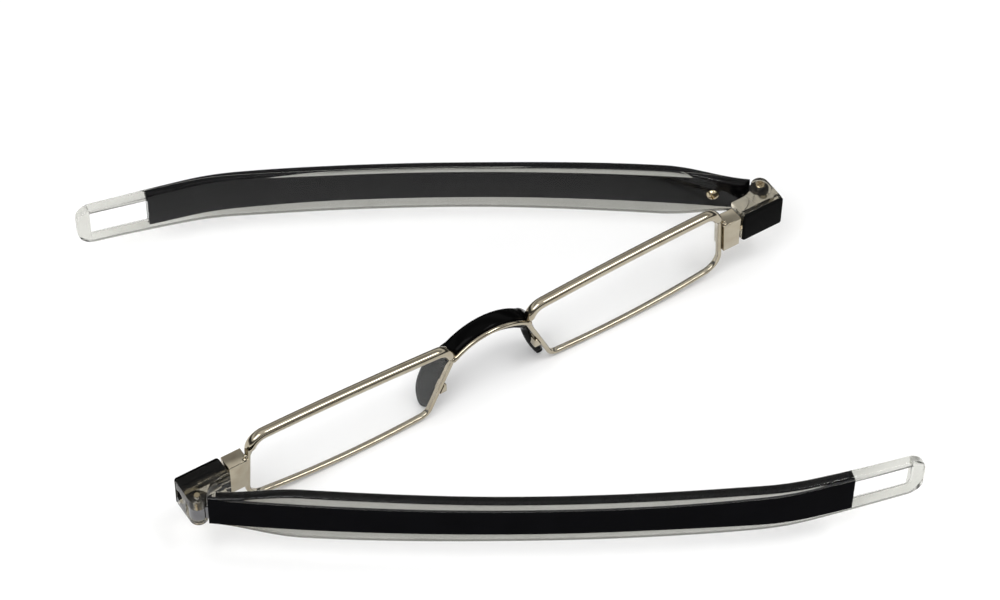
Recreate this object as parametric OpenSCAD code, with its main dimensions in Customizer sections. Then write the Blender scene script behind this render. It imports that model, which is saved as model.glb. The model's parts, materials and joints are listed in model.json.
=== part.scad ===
// Slim folding reading glasses. Each temple folds on a hinge screw, and the block that carries it swivels about
// the long axis of the front on a spring-loaded screw, so one temple can lie before the lenses and one behind.
// Millimetres. X runs along the front to the wearer's left, Y from the front to the wearer, Z up.
// The origin is on the table, under the middle of the swivel axis.

/* [Front] */
// Width between the two lens rims at their upper nasal corners
bridge_w = 12.4; // [11:0.1:15]
// Width of one lens rim along its top edge
lens_w = 49.1; // [41:0.1:59]
// Height of one lens rim at its nasal end
lens_h = 18.9; // [16:0.1:22.7]
// How much higher the temporal end of a rim sits than its nasal end
lens_rise = 2.2; // [0:0.1:3]
// How far the nasal side of a rim leans outwards from top to bottom
nasal_lean = 8.2; // [7:0.1:10]
// Thickness of the brow bar along the top of a rim
brow_t = 2; // [1.7:0.1:2.6]
// Thickness of the rim wire at the sides and the bottom
rim_t = 1; // [0.9:0.1:1.4]
// Front-to-back depth of the rim wire
rim_depth = 1.4; // [1.3:0.1:2]
// Front-to-back depth of the brow bar
brow_depth = 2.2; // [1.9:0.1:2.6]
// Thickness of a lens
lens_t = 1; // [0.8:0.1:1.1]
// How far the lower side of a rim bulges between its corners
low_bow = 1; // [0:0.1:1.5]
// Diameter of the bridge wire
wire_d = 1.1; // [0.9:0.1:1.4]
// Rise of the bridge wire above its ends
bridge_rise = 3.6; // [3:0.1:4.5]

/* [Nose saddle] */
// Thickness of the saddle's arch
arch_t = 2.8; // [2.3:0.1:3.4]
// Front-to-back depth of the saddle's arch
arch_depth = 4.1; // [3.4:0.1:5]
// Thickness of a nose pad
pad_t = 2; // [1.6:0.1:2.4]
// How far the nose pads reach towards the wearer
pad_reach = 5.6; // [4.8:0.1:6.6]

/* [End piece] */
// Length of an end piece along the front
end_l = 3.9; // [3.4:0.1:4.6]
// Height of an end piece
end_h = 8; // [6.8:0.1:9.6]
// Front-to-back depth of an end piece
end_depth = 3.4; // [2.9:0.1:4]

/* [Swivel] */
// Gap between an end piece and its swivel block, filled by the collar
swivel_gap = 0.5; // [0.4:0.05:0.8]
// Length of a swivel block along the front
block_l = 9.7; // [9.1:0.1:11.7]
// Height of a swivel block
block_h = 7.6; // [6.6:0.1:9]
// Front-to-back depth of the straight part of a swivel block
block_depth = 4.9; // [4.4:0.1:5.2]
// Thickness of the black cover on a swivel block
cover_t = 0.5; // [0.4:0.05:0.6]
// Diameter of the swivel screw's shank
swivel_screw_d = 1.4; // [1.2:0.05:1.5]
// Diameter of the swivel screw's head
swivel_head_d = 2.4; // [2.1:0.05:2.45]
// Diameter of the spring wire
spring_wire_d = 0.3; // [0.25:0.01:0.34]
// Length of the swivel spring at rest
spring_l = 3; // [2.5:0.1:3.3]

/* [Temple] */
// Length of a temple from its hinge screw to its tip
temple_l = 141; // [118:0.5:170]
// Height of a temple along its middle
temple_h = 12.1; // [10.2:0.1:14.5]
// Height of a temple at its hinge end
root_h = 8.1; // [7.2:0.1:9.2]
// How much higher the shoulder behind the hinge stands than the middle
shoulder = 1.2; // [0.5:0.1:2]
// Height of a temple at its tip
tip_h = 10.2; // [9.4:0.1:11.4]
// Thickness of a temple
temple_t = 2.2; // [2:0.1:2.7]
// Height of the black inlay along its middle
inlay_h = 7.2; // [6.2:0.1:8.2]
// Height of the black inlay at its hinge end
inlay_root_h = 7.6; // [6.8:0.1:8.6]
// Height of the black inlay where the loop begins
inlay_end_h = 8.9; // [8.2:0.1:9.4]
// Thickness of the black inlay
inlay_t = 0.8; // [0.7:0.05:1]
// Length of the clear loop past the end of the inlay
loop_l = 14.9; // [12.5:0.1:18]
// Thickness of the clear loop above and below its window
loop_t = 1.1; // [0.9:0.1:1.5]
// Thickness of the clear loop at its end
loop_end_t = 2.8; // [2.2:0.1:3.4]
// Even inward curve of a temple over its whole length, in degrees
curve = 15.7; // [12:0.1:18]
// Extra inward bend near the tip, in degrees
tip_bend = 9.1; // [6:0.1:12]
// Angle between each temple and the front at rest, in degrees
rest_fold = 38.3; // [34:0.1:46]

/* [Hinge] */
// Distance from the swivel axis to the hinge screw
hinge_offset = 3.8; // [3.6:0.1:4.4]
// Outer diameter of the hinge knuckles
knuckle_d = 3.8; // [3.4:0.1:4]
// Diameter of the hinge screw's shank
hinge_screw_d = 1.4; // [1.2:0.05:1.5]
// Height of the metal leaf and its knuckle
leaf_h = 3.4; // [3:0.1:3.8]
// How much higher the leaf sits than the swivel axis
leaf_rise = 0.6; // [0:0.1:0.8]
// Length of the hinge leaf inside the temple
leaf_l = 14; // [12.5:0.1:16]
// Thickness of the hinge leaf inside the inlay
leaf_t = 0.4; // [0.3:0.05:0.5]
// Diameter of the domed head of the leaf screw
leaf_head_d = 2.7; // [2.3:0.05:3]

/* [Hidden] */
$fn = 48;

fit = 0.05;            // radial clearance of a turning fit
seat = 0.02;           // clearance of a fixed fit
reach = 40;            // longer than any cut has to be
front_y = -0.3;        // middle plane of the rims, from the swivel axis
nasal_top_z = 6.6;     // upper nasal corner of a rim, from the swivel axis
temporal_lean = 1.1;   // how far the temporal side leans outwards
top_r = 4.2;           // outer corner radii of a rim
temporal_low_r = 4.5;
nasal_low_r = 3;
top_bow = 0.3;         // how far the brow bar bulges between its corners
groove = 0.4;          // how deep a lens sits in its rim

// Rim outline, corner by corner: nasal top, temporal top, temporal bottom, nasal bottom
nasal_x = bridge_w / 2;
temporal_x = nasal_x + lens_w;
rim_corners = [[nasal_x, nasal_top_z], [temporal_x, nasal_top_z + lens_rise],
    [temporal_x + temporal_lean, nasal_top_z - lens_h + 0.82 * lens_rise],
    [nasal_x + nasal_lean, nasal_top_z - lens_h]];
rim_radii = [top_r, top_r, temporal_low_r, nasal_low_r];

pad_low_z = rim_corners[3][1] - 0.7;   // lowest point of the pads, from the swivel axis
axis_h = -pad_low_z;                   // height of the swivel axis above the table

// Stations along the front, from the middle outwards
end_x1 = temporal_x + temporal_lean + 3.5;
end_x0 = end_x1 - end_l - 1;           // its inner end is shaped to the rim
block_x0 = end_x1 + swivel_gap;
block_x1 = block_x0 + block_l;
end_top_z = 3.3;
end_front_y = front_y - 1.2;
cover_y = -2;                          // outer face of the black cover
block_y0 = cover_y + cover_t;
block_y1 = cover_y + block_depth;
hinge_x = block_x1 - knuckle_d / 2;

// Swivel, along its axis
wall_l = 1.6;
washer_t = 0.4;
washer_x0 = block_x0 + wall_l;
spring_x0 = washer_x0 + washer_t;
head_x0 = spring_x0 + spring_l;
head_l = 1;
recess_d = swivel_head_d + 4 * fit;
screw_grip = 2.8;                      // length of screw inside the end piece

// Temple curve
bend_s = temple_l * 0.8;               // middle of the extra bend
bend_w = 5;                            // half the length it takes
temple_s0 = knuckle_d / 2 + 0.2;
inlay_end = temple_l - loop_l;
leaf_screw_s = 9.5;
steps = 36;
function bent(s) = tip_bend * min(1, max(0, (s - bend_s + bend_w) / (2 * bend_w)));
function heading(s) = -curve * s / 140 - bent(s);
function station(i) = temple_s0 + (temple_l - temple_s0) * i / steps;
ds = (temple_l - temple_s0) / steps;
function walk(i) = i == 0 ? [[temple_s0, 0]]
    : let (p = walk(i - 1), a = heading(station(i - 0.5)))
      concat(p, [p[i - 1] + ds * [cos(a), sin(a)]]);
spine = walk(steps);
// Distance along the temple's first direction, for a length s along its curve
function along(s) = let (k = min(steps, max(0, (s - temple_s0) / ds)), i = min(steps - 1, floor(k)))
    spine[i][0] + (k - i) * (spine[i + 1][0] - spine[i][0]);
function side(d) = [for (i = [0 : steps]) let (a = heading(station(i)))
    spine[i] + d * [-sin(a), cos(a)]];
function led_in(list) = concat([list[0] - [1, 0]], list);
function reversed(list) = [for (i = [len(list) - 1 : -1 : 0]) list[i]];

// Half height of the temple and of its inlay, at a length s along it
shoulder_s = 20;
waist_s = 0.45 * temple_l;
taper_s = 0.7 * temple_l;
rail = 0.25;           // least height of clear plastic above and below the inlay
function rise(s, s0, s1) = (1 - cos(180 * min(1, max(0, (s - s0) / (s1 - s0))))) / 2;
function shell_half(s) = (root_h
    + (temple_h + shoulder - root_h) * rise(s, temple_s0, shoulder_s)
    - shoulder * rise(s, shoulder_s, waist_s) - (temple_h - tip_h) * rise(s, taper_s, temple_l)) / 2;
function inlay_half(s) = min(shell_half(s) - rail, (inlay_root_h
    + (inlay_h - inlay_root_h) * rise(s, leaf_screw_s, 0.4 * temple_l)
    + (inlay_end_h - inlay_h) * rise(s, 0.6 * temple_l, inlay_end)) / 2);

// Straight line through two points moved inwards by d, as [point, direction], and where two such lines meet
function moved(a, b, d) = let (u = (b - a) / norm(b - a)) [a + d * [u[1], -u[0]], u];
function meet(l, m) = let (c = l[1][0] * m[1][1] - l[1][1] * m[1][0], w = m[0] - l[0])
    l[0] + l[1] * (w[0] * m[1][1] - w[1] * m[1][0]) / c;
// Corners moved inwards by one distance per side; side i runs from corner i to the next
function inset(c, d) = [for (i = [0 : 3]) let (p = (i + 3) % 4, n = (i + 1) % 4)
    meet(moved(c[p], c[i], d[p]), moved(c[i], c[n], d[i]))];
// The same corners rounded with arcs of the given radii, with sides that bulge between them
arc_steps = 8;
bow_steps = 8;
side_bow = [top_bow, 0, low_bow, 0];
function arc_at(c, r, i) = let (
        u = (c[(i + 3) % 4] - c[i]) / norm(c[(i + 3) % 4] - c[i]),
        v = (c[(i + 1) % 4] - c[i]) / norm(c[(i + 1) % 4] - c[i]),
        half = acos(u * v) / 2,
        m = c[i] + (u + v) / norm(u + v) * r[i] / sin(half),
        from = c[i] + u * r[i] / tan(half) - m,
        to = c[i] + v * r[i] / tan(half) - m,
        a0 = atan2(from[1], from[0]),
        a1 = atan2(to[1], to[0]),
        turn = a1 - a0 > 180 ? a1 - a0 - 360 : a1 - a0 < -180 ? a1 - a0 + 360 : a1 - a0)
    [for (k = [0 : arc_steps]) m + r[i] * [cos(a0 + turn * k / arc_steps), sin(a0 + turn * k / arc_steps)]];
function bowed(a, b, h) = let (u = (b - a) / norm(b - a))
    [for (k = [1 : bow_steps - 1]) let (t = k / bow_steps) a + (b - a) * t + 4 * h * t * (1 - t) * [-u[1], u[0]]];
function rounded(c, r) = let (arcs = [for (i = [0 : 3]) arc_at(c, r, i)])
    [for (i = [0 : 3]) for (p = concat(arcs[i],
        side_bow[i] > 0 ? bowed(arcs[i][arc_steps], arcs[(i + 1) % 4][0], side_bow[i]) : [])) p];

// Places a piece of the front, and pieces of the wearer's left or right side
module front() translate([0, 0, axis_h]) children();
module front_right() front() mirror([1, 0, 0]) children();
module left_side() front() children();
module right_side() front() mirror([1, 0, 0]) rotate([180, 0, 0]) children();
module in_temple() translate([hinge_x, hinge_offset, 0]) rotate([0, 0, -rest_fold]) mirror([1, 0, 0]) children();

// A plate that stands in the XZ plane, from y0 to y1
module upright(y0, y1) translate([0, y1, 0]) rotate([90, 0, 0]) linear_extrude(y1 - y0) children();
module along_x(x0, x1, d) translate([x0, 0, 0]) rotate([0, 90, 0]) cylinder(d = d, h = x1 - x0);

// ---- Front ----

module rim_outline(d, grow_r = 0) polygon(rounded(inset(rim_corners, d), [for (r = rim_radii) max(0.8, r + grow_r)]));
brow_d = [brow_t, rim_t, rim_t, rim_t];
lens_d = [brow_t - groove, rim_t - groove, rim_t - groove, rim_t - groove];

module lens_solid() upright(front_y - lens_t / 2, front_y + lens_t / 2) rim_outline(lens_d, -rim_t + groove);

module brow_zone() polygon([[0, nasal_top_z - 3.2], [temporal_x + 5, nasal_top_z + lens_rise - 3.2],
    [temporal_x + 5, reach], [0, reach]]);

module rim() color([0.78, 0.72, 0.6]) difference() {
    union() {
        upright(front_y - rim_depth / 2, front_y + rim_depth / 2) difference() {
            rim_outline([0, 0, 0, 0]);
            rim_outline(brow_d, -rim_t);
        }
        upright(front_y - brow_depth / 2, front_y + brow_depth / 2) intersection() {
            difference() {
                rim_outline([0, 0, 0, 0]);
                rim_outline(brow_d, -rim_t);
            }
            brow_zone();
        }
    }
    lens_solid();
}

module lens() color([0.93, 0.96, 0.97, 0.35]) lens_solid();

module rim_envelope(y0, y1, gap = 0) upright(y0, y1) rim_outline([-gap, -gap, -gap, -gap], gap);

bridge_half = nasal_x + 2.8;
bridge_r = (bridge_half * bridge_half + bridge_rise * bridge_rise) / (2 * bridge_rise);
bridge_end_z = 2.3;                    // ends of the bridge wire, from the swivel axis
wire_y = front_y - rim_depth / 2 - 0.25;

module arch_ring(r0, r1, y0, y1, angle) translate([0, y1, bridge_end_z + bridge_rise - bridge_r])
    rotate([90, 0, 0]) rotate([0, 0, 90 - angle / 2]) rotate_extrude(angle = angle, $fn = 128)
        translate([r0, 0]) square([r1 - r0, y1 - y0]);

module bridge_wire() color([0.78, 0.72, 0.6]) front() difference() {
    translate([0, wire_y, bridge_end_z + bridge_rise - bridge_r]) rotate([90, 0, 0])
        rotate([0, 0, 90 - asin(bridge_half / bridge_r)])
            rotate_extrude(angle = 2 * asin(bridge_half / bridge_r), $fn = 128)
                translate([bridge_r, 0]) circle(d = wire_d, $fn = 24);
    for (m = [0, 1]) mirror([m, 0, 0]) rim_envelope(front_y - brow_depth / 2, reach / 2);
}

arch_y0 = wire_y + wire_d / 2 + seat;
arch_y1 = arch_y0 + arch_depth;
pad_y = front_y + brow_depth / 2 + pad_t / 2 + 0.1;
pad_low_y = front_y + rim_depth / 2 + pad_t / 2 + 0.1;
pad_top_x = bridge_half + 0.6;
pad_low_x = pad_top_x + 3.6;

// One nose pad: a leaf that hangs behind the nasal side of the rim and flares out towards the wearer
module pad() hull() {
    translate([pad_top_x, pad_y, bridge_end_z - 0.6]) sphere(d = pad_t, $fn = 20);
    translate([pad_top_x + 2.6, pad_reach - 0.6, bridge_end_z - 4.2]) sphere(d = pad_t, $fn = 20);
    translate([pad_low_x + 0.4, pad_low_y, pad_low_z + pad_t / 2]) sphere(d = pad_t, $fn = 20);
    translate([pad_low_x + 1, pad_reach - 0.8, pad_low_z + pad_t / 2 + 2]) sphere(d = pad_t, $fn = 20);
}

module nose_saddle() color([0.05, 0.05, 0.055]) front() union() {
    difference() {
        arch_ring(bridge_r + 0.4 - arch_t, bridge_r + 0.4, arch_y0, arch_y1,
            2 * asin((pad_top_x + 0.2) / bridge_r));
        for (m = [0, 1]) mirror([m, 0, 0]) rim_envelope(-reach / 2, front_y + brow_depth / 2 + 0.05, 0.05);
    }
    for (m = [0, 1]) mirror([m, 0, 0]) pad();
}

clip_z = -5.5;
clip_w = 1.7;
clip_h = 2.2;
function nasal_edge_x(z) = nasal_x + nasal_lean * (nasal_top_z - z) / lens_h;
module clip() translate([nasal_edge_x(clip_z) - clip_w + 0.6, front_y - rim_depth / 2, clip_z - clip_h / 2])
    cube([clip_w, pad_y - front_y + rim_depth / 2, clip_h]);
module saddle_clips() color([0.76, 0.71, 0.6]) front() for (m = [0, 1]) mirror([m, 0, 0]) difference() {
    clip();
    rim_envelope(-reach / 2, reach / 2);
}

lock_x = end_x1 - end_l / 2;
lock_y = end_front_y + end_depth - 0.9;
lock_d = 1;
lock_low_z = end_top_z - end_h;
module lock_screw() {
    translate([lock_x, lock_y, lock_low_z]) cylinder(d = 1.5, h = 0.6);
    translate([lock_x, lock_y, lock_low_z + 0.5]) cylinder(d = lock_d, h = 3.2);
}
module end_piece() color([0.78, 0.72, 0.6]) difference() {
    translate([end_x0, end_front_y, end_top_z - end_h]) cube([end_x1 - end_x0, end_depth, end_h]);
    rim_envelope(-reach / 2, reach / 2);
    along_x(end_x1 - screw_grip, end_x1 + 1, swivel_screw_d + 2 * seat);
    translate([lock_x, lock_y, lock_low_z - 1]) cylinder(d = 1.5 + 2 * seat, h = 1.6);
    translate([lock_x, lock_y, lock_low_z]) cylinder(d = lock_d + 2 * seat, h = 3.7);
}
module rim_lock_screws() color([0.8, 0.75, 0.62]) front() for (m = [0, 1]) mirror([m, 0, 0]) difference() {
    lock_screw();
    translate([lock_x - 1, lock_y - 0.12, lock_low_z - 1]) cube([2, 0.24, 1.25]);
}

// ---- Swivel ----

collar_d = 3.2;
module swivel_collar() color([0.85, 0.72, 0.42]) difference() {
    along_x(end_x1, block_x0 - seat, collar_d);
    along_x(end_x1 - 1, block_x0 + 1, swivel_screw_d + 2 * fit);
}

module swivel_screw() color([0.75, 0.75, 0.76]) difference() {
    union() {
        along_x(end_x1 - screw_grip + 0.1, head_x0 + 0.1, swivel_screw_d);
        along_x(head_x0, head_x0 + head_l, swivel_head_d);
    }
    translate([head_x0 + head_l - 0.45, -reach / 2, -0.2]) cube([reach, reach, 0.4]);
}

turns = 6;
coil_steps = 12;
coil_r = swivel_head_d / 2 - spring_wire_d / 2 - 0.03;
module swivel_spring() color([0.7, 0.7, 0.72]) {
    n = turns * coil_steps;
    pitch = (spring_l - spring_wire_d - 0.04) / turns;
    ring = [for (k = [0 : 5]) spring_wire_d / 2 * [cos(60 * k), sin(60 * k)]];
    points = [for (i = [0 : n]) for (q = ring) let (a = 360 * i / coil_steps)
        [spring_x0 + 0.02 + spring_wire_d / 2 + pitch * i / coil_steps + q[0],
         (coil_r + q[1]) * cos(a), (coil_r + q[1]) * sin(a)]];
    walls = [for (i = [0 : n - 1]) for (k = [0 : 5]) let (j = (k + 1) % 6)
        [6 * i + k, 6 * i + j, 6 * i + 6 + j, 6 * i + 6 + k]];
    polyhedron(points, concat([[5, 4, 3, 2, 1, 0]], walls, [[for (k = [0 : 5]) 6 * n + k]]));
}

module thrust_washer() color([0.72, 0.72, 0.74]) difference() {
    along_x(washer_x0, spring_x0, swivel_head_d);
    along_x(washer_x0 - 1, spring_x0 + 1, swivel_screw_d + 2 * fit);
}

// Block seen from above: a straight part, and ears that a round hollow blends into the knuckle
knuckle_r = knuckle_d / 2;
web_r = 4.5;
web_y = block_y1 + web_r;
web_x = hinge_x - sqrt((web_r + knuckle_r) * (web_r + knuckle_r) - (web_y - hinge_offset) * (web_y - hinge_offset));
web_end = [hinge_x, hinge_offset] + knuckle_r * [web_x - hinge_x, web_y - hinge_offset] / (web_r + knuckle_r);
module block_plan() {
    translate([hinge_x, hinge_offset]) circle(d = knuckle_d);
    difference() {
        polygon([[block_x0, block_y0], [block_x1, block_y0], [block_x1, hinge_offset], [hinge_x, hinge_offset],
            web_end, [web_x, block_y1], [block_x0, block_y1]]);
        translate([web_x, web_y]) circle(r = web_r, $fn = 96);
    }
}

hinge_head_d = hinge_screw_d + 0.6;
hinge_head_h = 0.5;
slot_gap = 0.45;                       // room around the leaf's knuckle
module swivel_block() color([0.8, 0.82, 0.8, 0.4]) difference() {
    translate([0, 0, -block_h / 2]) linear_extrude(block_h) block_plan();
    along_x(block_x0 - 1, washer_x0 + 1, swivel_screw_d + 2 * fit);
    along_x(washer_x0, block_x1 + 1, recess_d);
    translate([hinge_x, hinge_offset, leaf_rise - leaf_h / 2 - fit])
        cylinder(r = knuckle_r + slot_gap, h = leaf_h + 2 * fit);
    translate([hinge_x, hinge_offset, -block_h]) cylinder(d = hinge_screw_d + 2 * seat, h = 2 * block_h);
    translate([hinge_x, hinge_offset, block_h / 2 - hinge_head_h]) cylinder(d = hinge_head_d + 2 * seat, h = 1);
}

module block_cover() color([0.04, 0.04, 0.045])
    translate([block_x0, cover_y, -block_h / 2]) cube([block_l, cover_t, block_h]);

// ---- Hinge ----

module hinge_screw() color([0.8, 0.74, 0.6]) translate([hinge_x, hinge_offset, 0]) difference() {
    union() {
        translate([0, 0, -block_h / 2 + 0.1]) cylinder(d = hinge_screw_d, h = block_h - hinge_head_h);
        translate([0, 0, block_h / 2 - hinge_head_h]) cylinder(d = hinge_head_d, h = hinge_head_h);
    }
    translate([-0.12, -reach / 2, block_h / 2 - 0.25]) cube([0.24, reach, 1]);
    translate([-reach / 2, -0.12, block_h / 2 - 0.25]) cube([reach, 0.24, 1]);
}

leaf_n = temple_t / 2 - (inlay_t + leaf_t) / 2;    // inner face of the leaf, in the middle of the inlay
skin_n = temple_t / 2 - inlay_t;                   // face between the clear body and the inlay
leaf_screw_d = 1.2;
module in_leaf() in_temple() translate([0, 0, leaf_rise]) children();
module across_leaf(d) translate([leaf_screw_s, reach / 2, 0]) rotate([90, 0, 0]) cylinder(d = d, h = reach);
module hinge_leaf() color([0.7, 0.69, 0.66]) in_leaf() difference() {
    union() {
        translate([0, 0, -leaf_h / 2]) cylinder(d = knuckle_d - 0.1, h = leaf_h);
        translate([0, leaf_n, -leaf_h / 2]) cube([leaf_l, leaf_t, leaf_h]);
    }
    translate([0, 0, -leaf_h]) cylinder(d = hinge_screw_d + 2 * fit, h = 2 * leaf_h);
    across_leaf(leaf_screw_d + 2 * seat);
}

module dome(d, h) intersection() {
    rotate([90, 0, 0]) cylinder(d = d, h = h);
    translate([0, (d * d / 4 - h * h) / (2 * h), 0]) sphere(r = (d * d / 4 + h * h) / (2 * h));
}
leaf_head_h = 0.8;
module leaf_screw() color([0.82, 0.76, 0.62]) in_leaf() difference() {
    union() {
        translate([leaf_screw_s, leaf_n + leaf_t, 0]) rotate([90, 0, 0])
            cylinder(d = leaf_screw_d, h = leaf_n + leaf_t + temple_t / 2 + 0.2);
        translate([leaf_screw_s, -temple_t / 2 - 0.15, 0]) dome(leaf_head_d, leaf_head_h);
    }
    for (a = [0, 90]) translate([leaf_screw_s, -temple_t / 2 - 1, 0]) rotate([0, a, 0]) translate([-0.2, -1, -0.85])
        cube([0.4, 1.4, 1.7]);
}

// ---- Temple ----

// The bent plate between two distances from its middle, and its outline seen from the side
module bent_plate(n0, n1) translate([0, 0, -reach / 2]) linear_extrude(reach)
    polygon(concat(side(n0), reversed(side(n1))));
// The room for the inlay, open at the outer face and at the hinge end
module pocket_plate() translate([0, 0, -reach / 2]) linear_extrude(reach)
    polygon(concat(led_in(side(skin_n)), reversed(led_in(side(temple_t / 2 + 1)))));
module side_view() upright(-reach, reach) children();
tip_r = 3.6;
outline_steps = 32;
shell_stations = [for (k = [0 : outline_steps]) temple_s0 + (temple_l - tip_r - temple_s0) * k / outline_steps];
inlay_stations = [for (k = [0 : outline_steps]) temple_s0 + (inlay_end - temple_s0) * k / outline_steps];
tip_arc = [for (k = [1 : 6]) 90 * k / 6];
module shell_outline() {
    top = concat([for (s = shell_stations) [along(s), shell_half(s)]],
        [for (a = tip_arc) [along(temple_l - tip_r + tip_r * sin(a)), tip_h / 2 - tip_r * (1 - cos(a))]]);
    polygon(concat(top, [for (p = reversed(top)) [p[0], -p[1]]]));
}
module inlay_outline(lead = 0) {
    top = concat([[temple_s0 - lead, inlay_half(temple_s0)]],
        [for (k = [lead > 0 ? 0 : 1 : outline_steps]) [along(inlay_stations[k]), inlay_half(inlay_stations[k])]]);
    polygon(concat(top, [for (p = reversed(top)) [p[0], -p[1]]]));
}
window_half = tip_h / 2 - loop_t;
window_s1 = temple_l - loop_end_t;
module window_outline() polygon([[along(inlay_end), -window_half], [along(window_s1 - 0.4), -window_half],
    [along(window_s1), -window_half + 0.4], [along(window_s1), window_half - 0.4],
    [along(window_s1 - 0.4), window_half], [along(inlay_end), window_half]]);

// A round hollow in the inner corner of the hinge end, which clears the block's ears when the temple is closed
heel_r = 2.2;
module temple_shell() color([0.82, 0.84, 0.82, 0.4]) in_temple() difference() {
    intersection() {
        bent_plate(-temple_t / 2, temple_t / 2);
        side_view() shell_outline();
    }
    intersection() {
        pocket_plate();
        side_view() inlay_outline(0.5);
    }
    side_view() window_outline();
    translate([temple_s0 - 0.8, -temple_t / 2 - 0.7, -reach / 2]) cylinder(r = heel_r, h = reach);
    translate([0, 0, leaf_rise]) across_leaf(leaf_screw_d + 2 * seat);
    translate([leaf_screw_s, -temple_t / 2 - 0.2, leaf_rise]) rotate([-90, 0, 0])
        cylinder(d = leaf_head_d + 2 * fit, h = 0.2);
}

module temple_inlay() color([0.03, 0.03, 0.035]) in_temple() difference() {
    intersection() {
        bent_plate(skin_n, temple_t / 2);
        side_view() inlay_outline();
    }
    translate([0, leaf_n, leaf_rise - leaf_h / 2]) cube([leaf_l, leaf_t, leaf_h]);
    translate([leaf_screw_s, leaf_n + leaf_t, leaf_rise]) rotate([90, 0, 0])
        cylinder(d = leaf_screw_d + 2 * seat, h = reach);
}

front() rim();  // rim_left
front_right() rim();  // rim_right
front() lens();  // lens_left
front_right() lens();  // lens_right
bridge_wire();
nose_saddle();
saddle_clips();
front() end_piece();  // end_piece_left
front_right() end_piece();  // end_piece_right
rim_lock_screws();
left_side() swivel_collar();  // swivel_collar_left
right_side() swivel_collar();  // swivel_collar_right
left_side() swivel_screw();  // swivel_screw_left
right_side() swivel_screw();  // swivel_screw_right
left_side() swivel_spring();  // swivel_spring_left
right_side() swivel_spring();  // swivel_spring_right
left_side() thrust_washer();  // thrust_washer_left
right_side() thrust_washer();  // thrust_washer_right
left_side() swivel_block();  // swivel_block_left
right_side() swivel_block();  // swivel_block_right
left_side() block_cover();  // block_cover_left
right_side() block_cover();  // block_cover_right
left_side() hinge_screw();  // hinge_screw_left
right_side() hinge_screw();  // hinge_screw_right
left_side() hinge_leaf();  // hinge_leaf_left
right_side() hinge_leaf();  // hinge_leaf_right
left_side() leaf_screw();  // leaf_screw_left
right_side() leaf_screw();  // leaf_screw_right
left_side() temple_shell();  // temple_shell_left
right_side() temple_shell();  // temple_shell_right
left_side() temple_inlay();  // temple_inlay_left
right_side() temple_inlay();  // temple_inlay_right
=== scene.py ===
"""Folding reading glasses: the looks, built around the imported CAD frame.

Pieces are made in millimetres, with heights measured from the swivel axis, and are placed in metres at the
end. The wearer's left side is modelled. The right half of the front is its mirror image. The right side's
swivel, hinge and temple are its reflection in a point, because that side is also swivelled half a turn.
"""
import json
import math

import bmesh
import bpy
from mathutils import Matrix, Vector


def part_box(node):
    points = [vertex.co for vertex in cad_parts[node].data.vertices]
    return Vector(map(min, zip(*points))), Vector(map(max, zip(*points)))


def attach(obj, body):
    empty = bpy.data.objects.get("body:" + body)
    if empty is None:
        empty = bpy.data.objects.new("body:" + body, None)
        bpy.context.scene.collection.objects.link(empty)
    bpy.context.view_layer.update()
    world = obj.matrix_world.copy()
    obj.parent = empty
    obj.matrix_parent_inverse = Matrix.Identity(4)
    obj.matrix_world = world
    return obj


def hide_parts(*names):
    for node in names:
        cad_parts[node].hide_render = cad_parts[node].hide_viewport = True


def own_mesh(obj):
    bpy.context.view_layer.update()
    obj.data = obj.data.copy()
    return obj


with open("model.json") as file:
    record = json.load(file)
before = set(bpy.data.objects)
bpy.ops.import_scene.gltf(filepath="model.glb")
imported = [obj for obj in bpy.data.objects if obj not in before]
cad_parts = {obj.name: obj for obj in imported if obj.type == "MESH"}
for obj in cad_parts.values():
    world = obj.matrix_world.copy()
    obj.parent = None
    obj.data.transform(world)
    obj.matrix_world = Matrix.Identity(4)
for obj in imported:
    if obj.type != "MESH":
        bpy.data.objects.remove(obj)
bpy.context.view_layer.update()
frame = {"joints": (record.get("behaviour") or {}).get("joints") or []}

MM = 0.001
SCENE = bpy.context.scene
JOINTS = {j["name"]: j for j in frame["joints"]}


def millimetres(node):
    """The lowest and highest corner of a CAD node, in millimetres."""
    return [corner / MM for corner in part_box(node)]


# ---- Sizes, in millimetres and degrees ----

AXIS_H = JOINTS["swivel_left"]["pos_m"][2] / MM       # height of the swivel axis above the floor
HINGE_X, HINGE_Y = (v / MM for v in JOINTS["fold_left"]["pos_m"][:2])
SEAT = 0.02             # how far touching pieces sink into clear plastic, so that no air shows between them

# Rims: a brow bar along the top, which thins to a wire down the sides
BRIDGE_W, LENS_W, LENS_H = 12.4, 49.1, 18.9
LENS_RISE = 2.2                         # how far the top rises towards the temple
LOW_RISE = 0.82 * LENS_RISE             # how far the lower side rises
NASAL_LEAN, TEMPORAL_LEAN = 8.2, 1.1
NASAL_TOP = 6.6
TOP_R, TEMPORAL_LOW_R, NASAL_LOW_R = 4.2, 4.5, 3.0
TOP_BOW, LOW_BOW = 0.3, 1.0
BROW_T, BROW_DEPTH, BROW_EDGE_R = 2.0, 2.2, 0.85
RIM_T, RIM_DEPTH, RIM_EDGE_R = 1.0, 1.4, 0.49
BROW_REACH, BROW_FADE = 5.2, 2.4        # how far below the top the bar ends, and over what height it thins
FRONT_Y = -0.3
LENS_T, GROOVE = 1.0, 0.4
FRONT_SAG, BACK_SAG = 0.75, 0.35

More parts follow.
